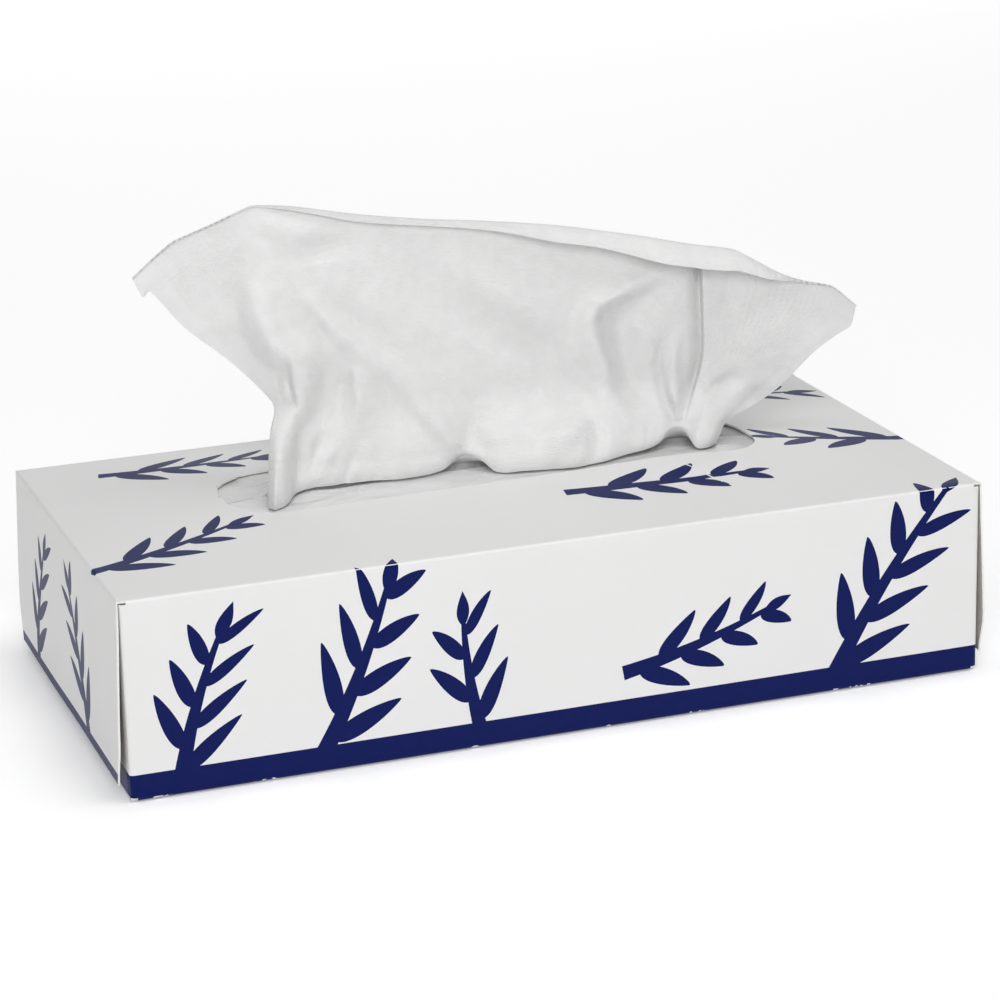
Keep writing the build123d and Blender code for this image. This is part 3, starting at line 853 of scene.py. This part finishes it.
def smooth_between(way, ways, values):
    """A value at a share of the way, easing through the given ones."""
    ways, values = np.asarray(ways, float), np.asarray(values, float)
    spot = np.clip(np.searchsorted(ways, way) - 1, 0, len(ways) - 2)
    before, after = np.clip(spot - 1, 0, None), np.clip(spot + 2, None, len(ways) - 1)
    span = ways[spot + 1] - ways[spot]
    t = np.clip((way - ways[spot]) / span, 0, 1)
    slope_in = (values[spot + 1] - values[before]) / (ways[spot + 1] - ways[before]) * span
    slope_out = (values[after] - values[spot]) / (ways[after] - ways[spot]) * span
    return (
        (2 * t**3 - 3 * t**2 + 1) * values[spot]
        + (t**3 - 2 * t**2 + t) * slope_in
        + (3 * t**2 - 2 * t**3) * values[spot + 1]
        + (t**3 - t**2) * slope_out
    )


def fold_depth(x, z):
    """How far back of the smooth sheet its ridges and valleys lie, all in millimetres."""
    depth = np.zeros_like(x)
    for half_left, half_right, points in folds:
        length = sum(hypot(b[0] - a[0], b[1] - a[1]) for a, b in zip(points, points[1:]))
        fade = min(0.45 * length, half_left + half_right + 5)
        best = np.full_like(x, 1e9)
        value = np.zeros_like(x)
        half = np.full_like(x, float(half_left))
        done = 0.0
        for (x0, z0, d0), (x1, z1, d1) in zip(points, points[1:]):
            dx, dz = x1 - x0, z1 - z0
            run = hypot(dx, dz)
            t = np.clip(((x - x0) * dx + (z - z0) * dz) / run**2, 0, 1)
            away = np.hypot(x - x0 - t * dx, z - z0 - t * dz)
            nearer = away < best
            best = np.where(nearer, away, best)
            half = np.where(nearer, np.where(x > x0 + t * dx, half_right, half_left), half)
            # A fold dies out towards its ends, except where the slit gathers it
            from_start = 1.0 if points[0][1] < gathered_below else np.clip((done + t * run) / fade, 0, 1)
            left_over = np.clip((length - done - t * run) / fade, 0, 1)
            from_end = 1.0 if points[-1][1] < gathered_below else left_over
            value = np.where(nearer, (d0 + (d1 - d0) * t) * np.sin(pi / 2 * from_start * from_end), value)
            done += run
        depth += value * (0.5 + 0.5 * np.cos(pi * np.clip(best / half, 0, 1)))
    return depth


columns, tail_rows, free_rows, lip_rows = 240, 34, 130, 14
rows = tail_rows + free_rows + lip_rows
bpy.ops.object.select_all(action="DESELECT")
bpy.ops.mesh.primitive_grid_add(x_subdivisions=columns, y_subdivisions=rows, size=1, location=(0, 0, 0))
sheet = bpy.context.object
sheet.name = "pulled_sheet"
flat = np.zeros(len(sheet.data.vertices) * 3)
sheet.data.vertices.foreach_get("co", flat)
flat = flat.reshape(-1, 3)
across = flat[:, 0] + 0.5
row = np.rint((flat[:, 1] + 0.5) * rows)

# The free part, flat on: forward over the film to the hem, then across the sheet between
# its side edges, up to its top edge
hem_rows = 9
fan_power, left_power, right_power, ear_power = 0.92, 5.5, 9, 90
onward = np.clip((row - tail_rows) / hem_rows, 0, 1)
up = np.clip((row - tail_rows - hem_rows) / (free_rows - hem_rows), 0, 1)


def laid_out(share, up):
    """Flat on: x and z of a share of the width at a share of the height, and x in the slit."""
    top_x, top_z, foot_x = (smooth_between(share, top_edge[:, 0], top_edge[:, k]) for k in (1, 2, 3))
    fan = up**fan_power
    x = foot_x * (1 - fan) + top_x * fan
    z = film_level / mm * (1 - up) + top_z * up
    for edge, near in ((left_edge, (1 - share) ** left_power), (right_edge, share**right_power)):
        edge_x = smooth_between(up, edge[:, 0], edge[:, 1])
        edge_z = smooth_between(up, edge[:, 0], edge[:, 2])
        x += near * (edge_x - (edge[0, 1] * (1 - fan) + edge[-1, 1] * fan))
        z += near * (edge_z - (edge[0, 2] * (1 - up) + edge[-1, 2] * up))
    x += (1 - share) ** ear_power * np.interp(up, ear[:, 0], ear[:, 1])
    z += (1 - share) ** ear_power * np.interp(up, ear[:, 0], ear[:, 2])
    return x, z, foot_x


# One column of points follows the pleat's thread, and the columns beside it draw closer
pleat_share, drawn_width, closer_width = 0.81, 0.07, 0.025
pleat_column = round(pleat_share * columns) / columns
levels, tries = np.linspace(0, 1, 61), np.linspace(0.70, 0.92, 881)
thread = []
for level in levels:
    try_x, try_z, _ = laid_out(tries, level)
    thread.append(tries[np.argmin(abs(try_x - np.interp(try_z, pleat[:, 1], pleat[:, 0])))])
beside = np.exp(-(((across - pleat_column) / drawn_width) ** 2))
share = across + (np.interp(up, levels, thread) - pleat_column) * beside
closer = 0.65 * np.exp(-(((across - pleat_column) / closer_width) ** 2)) * np.clip(up / 0.05, 0, 1)
share = np.clip(share - (across - pleat_column) * closer, 0, 1)
x, z, foot_x = laid_out(share, up)
back = np.zeros_like(x)
by_row = [smooth_between(share, lean_columns, line) for line in lean_back]
for index in range(len(x)):
    back[index] = smooth_between(up[index], lean_rows, [line[index] for line in by_row])
depth = fold_depth(x, z)
past_pleat = x - np.interp(z, pleat[:, 1], pleat[:, 0])
under = pleat_under * (0.5 + 0.5 * np.cos(pi * np.clip(-past_pleat / pleat_reach[0], 0, 1)))
over = -pleat_over * (0.5 + 0.5 * np.cos(pi * np.clip(past_pleat / pleat_reach[1], 0, 1)))
turned = np.clip(1 + past_pleat / pleat_turn, 0, 1)
turned = 3 * turned**2 - 2 * turned**3
pleat_fades = np.clip((z - 56) / 12, 0, 1) * np.clip((1 - up) / 0.1, 0, 1)
depth += (under * (1 - turned) + over * turned) * pleat_fades
near_slit = np.clip(up / 0.10, 0, 1)
near_top = np.clip((1 - up) / 0.06, 0, 1)
depth *= (0.35 + 0.65 * near_slit) * (0.4 + 0.6 * near_top)
crumple = np.array([
    0.70 * noise.noise(Vector((px * 0.045, pz * 0.045, 1.3)))
    + 0.34 * noise.noise(Vector((px * 0.12, pz * 0.12, 7.7)))
    + 0.50 * abs(noise.noise(Vector((px * 0.07 + pz * 0.03, pz * 0.05, 4.1))))
    + 0.12 * noise.noise(Vector((px * 0.35, pz * 0.35, 2.9)))
    for px, pz in zip(x, z)
])
back = back + depth + crumple * (0.3 + 0.7 * near_slit)
forward = smooth_between(foot_x, belly[:, 0], belly[:, 1])
arch = smooth_between(foot_x, belly[:, 0], belly[:, 2])
tucked = np.clip(up / 0.34, 0, 1)
round_hem = 0.35 * np.sin(pi * np.clip(up / 0.07, 0, 1))
belly_out = forward * np.sin(pi / 2 * onward) * (1 - 3 * tucked**2 + 2 * tucked**3) + round_hem
back = back - belly_out

# Moving back along the line of sight keeps the outline where it is
step_back = back / ((slit_y - eye.y) / mm)
x = x + (x - eye.x / mm) * step_back
z = z + (z - eye.z / mm) * step_back * near_slit
y = slit_y / mm + back

# The hem lies on the film, arched up here and there
full_rise = 66
film_top = np.array([
    (height - board + top_lift(px * mm, py * mm)) / mm if near < 1 else 0.0
    for px, py, near in zip(x, y, near_slit)
])
hem_z = film_top + 0.2 + arch * onward + 0.3 * np.sin(pi * onward)
z = z * near_slit + (hem_z + up * full_rise) * (1 - near_slit)

# The lip, rolled forward over the top edge
past = np.clip((row - tail_rows - free_rows) / lip_rows, 0, 1)
reach = np.maximum(0.35, smooth_between(share, lip_reach[:, 0], lip_reach[:, 1]))
reach *= 1 + 0.12 * np.array([noise.noise(Vector((a * 9, 0.3, 4))) for a in across])
y += reach * smooth_between(past, lip_profile[:, 0], lip_profile[:, 1])
z += reach * smooth_between(past, lip_profile[:, 0], lip_profile[:, 2])

# The lower half: down through the slit, forward over the stack and back under itself
tail_length, tail_forward, tail_return, tail_width = 93.0, 51.0, 40.0, 204.0
down = np.clip((tail_rows - row) / tail_rows, 0, 1)
way = down * tail_length
drop = film_level / mm - stack_top / mm - 0.7
slit_rise = hem_z - film_level / mm
spread = np.clip(way / 30.0, 0, 1) ** 0.8
lying = np.clip(way - drop, 0, tail_forward)
returning = np.clip(way - drop - tail_forward, 0, tail_return)
in_tail = row < tail_rows
ripples = np.array([
    0.9 * noise.noise(Vector((a * 38, w * 0.03, 2))) + 0.5 * noise.noise(Vector((a * 15, w * 0.06, 6)))
    for a, w in zip(across, way)
])
turn_back = np.clip((tail_forward + 0.5 - lying + returning) / 8, 0.2, 1)
tail_x = foot_x * (1 - spread) + (across - 0.5) * tail_width * spread
tail_y = slit_y / mm - lying + returning
tail_z = film_level / mm - np.clip(way, 0, drop) + 0.9 * np.clip(returning / 3, 0, 1)
tail_z += slit_rise * (1 - np.clip(way / 6, 0, 1))
tail_z += (0.6 + ripples) * np.clip(lying / 6, 0, 1) * turn_back
x = np.where(in_tail, tail_x, x)
y = np.where(in_tail, tail_y + back * (1 - np.clip(way / 12, 0, 1)), y)
z = np.where(in_tail, np.maximum(tail_z, stack_top / mm + 0.12), z)
placed = np.stack([x, y, z], 1) * mm
sheet.data.vertices.foreach_set("co", placed.ravel())
sheet.data.update()

sheet_map = sheet.data.uv_layers.new(name="sheet")
for corner in sheet.data.loops:
    point = corner.vertex_index
    sheet_map.data[corner.index].uv = (across[point] * flat_width, (row[point] / rows) * flat_length)

tissue_material, tissue_shader, tree, on_object = tuned("loose_tissue", tissue_white, 0.92)
on_sheet = join_up(tree, "ShaderNodeUVMap", uv_map="sheet").outputs[0]
fibre = mottle(tree, on_object, 1100.0, 5.0, Roughness=0.65)
pulp = mottle(tree, on_object, 240.0, 3.0)
stretched = join_up(tree, "ShaderNodeMapping", {0: on_sheet, "Scale": (500.0, 2600.0, 1.0)}).outputs[0]
crepe = mottle(tree, stretched, 1.0, 2.0)
tone = blend(tree, pulp, (0.745, 0.745, 0.742), (0.83, 0.83, 0.827))
tree.links.new(tone, tissue_shader.inputs["Base Color"])

# Two bands of pressed dots hold the plies together near the side edges
band_starts, band_ends = 6 * mm, 30 * mm
across_sheet = parts_of(tree, on_sheet)[0]
dots = join_up(tree, "ShaderNodeTexVoronoi", {0: on_sheet, "Scale": 620.0, "Randomness": 0.15}).outputs[0]
dot = reckon(tree, "LESS_THAN", dots, 0.28)
from_middle = reckon(tree, "ABSOLUTE", reckon(tree, "SUBTRACT", across_sheet, flat_width / 2))
from_edge = reckon(tree, "SUBTRACT", flat_width / 2, from_middle)
past_start = reckon(tree, "GREATER_THAN", from_edge, band_starts)
banded = reckon(tree, "MULTIPLY", past_start, reckon(tree, "LESS_THAN", from_edge, band_ends))
pressed = reckon(tree, "MULTIPLY", dot, banded)
surface = reckon(tree, "ADD", reckon(tree, "MULTIPLY", fibre, 0.6), reckon(tree, "MULTIPLY", crepe, 0.7))
surface = reckon(tree, "ADD", surface, reckon(tree, "MULTIPLY", pulp, 1.2))
surface = reckon(tree, "SUBTRACT", surface, reckon(tree, "MULTIPLY", pressed, 0.8))
emboss(tree, tissue_shader, surface, 0.7, 0.0004)
tissue_shader.inputs["Specular IOR Level"].default_value = 0.1
tissue_shader.inputs["Sheen Weight"].default_value = 0.15
sheet.data.materials.append(tissue_material)
plies = sheet.modifiers.new("two_plies", "SOLIDIFY")
plies.thickness = 0.16 * mm
plies.offset = 0
bpy.ops.object.modifier_apply(modifier=plies.name)
bpy.ops.object.shade_smooth_by_angle(angle=radians(60))
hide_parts("pulled_tissue")
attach(sheet, "root")

# Studio. A pale sweep to stand on, soft light from the camera's side and above, and a
# long lens a little above the carton and to its left.
bpy.ops.object.select_all(action="DESELECT")
bpy.ops.mesh.primitive_plane_add(size=8, location=(0, 0, -0.0004))
floor = bpy.context.object
floor.name = "studio_floor"
bpy.ops.object.transform_apply()
floor_material, floor_shader, tree, on_object = tuned("pale_floor", (0.93, 0.93, 0.93), 0.8)
floor_shader.inputs["Specular IOR Level"].default_value = 0.1
# Painted light: the floor glows, weakly at the front and more strongly towards the back
floor_shader.inputs["Emission Color"].default_value = (1, 1, 1, 1)
floor_depth = parts_of(tree, on_object)[1]
glow = carried(tree, floor_depth, (-0.1, 1.3), (0.2, 0.5))
tree.links.new(glow, floor_shader.inputs["Emission Strength"])
floor.data.materials.append(floor_material)

sky = bpy.data.worlds.new("studio_white")
sky.use_nodes = True
sky.node_tree.nodes["Background"].inputs["Color"].default_value = (1, 1, 1, 1)
sky.node_tree.nodes["Background"].inputs["Strength"].default_value = 0.32
bpy.context.scene.world = sky


def soft_light(name, place, aim, size, power):
    """A square soft box that faces a point."""
    bpy.ops.object.light_add(type="AREA", location=place)
    light = bpy.context.object
    light.name = name
    light.data.shape = "SQUARE"
    light.data.size = size
    light.data.energy = power
    light.rotation_euler = (Vector(aim) - Vector(place)).to_track_quat("-Z", "Y").to_euler()
    return light


soft_light("front_softbox", (-0.5, -1.3, 0.9), (0, 0, 0.06), 0.8, 11.9)
soft_light("top_softbox", (0.25, -0.3, 1.6), (0, 0, 0.05), 0.8, 8.0)
soft_light("backdrop_softbox", (0.55, 1.6, 0.6), (0, 0, 0.08), 1.2, 2.5)

# The camera stands where the sheet's section has it
bpy.ops.object.camera_add()
camera = bpy.context.object
camera.data.sensor_width = sensor_width
camera.data.lens = lens
camera.matrix_world = Matrix.Translation(eye) @ Matrix((right, above, behind)).transposed().to_4x4()
bpy.context.scene.camera = camera
bpy.context.scene.view_settings.view_transform = "Standard"
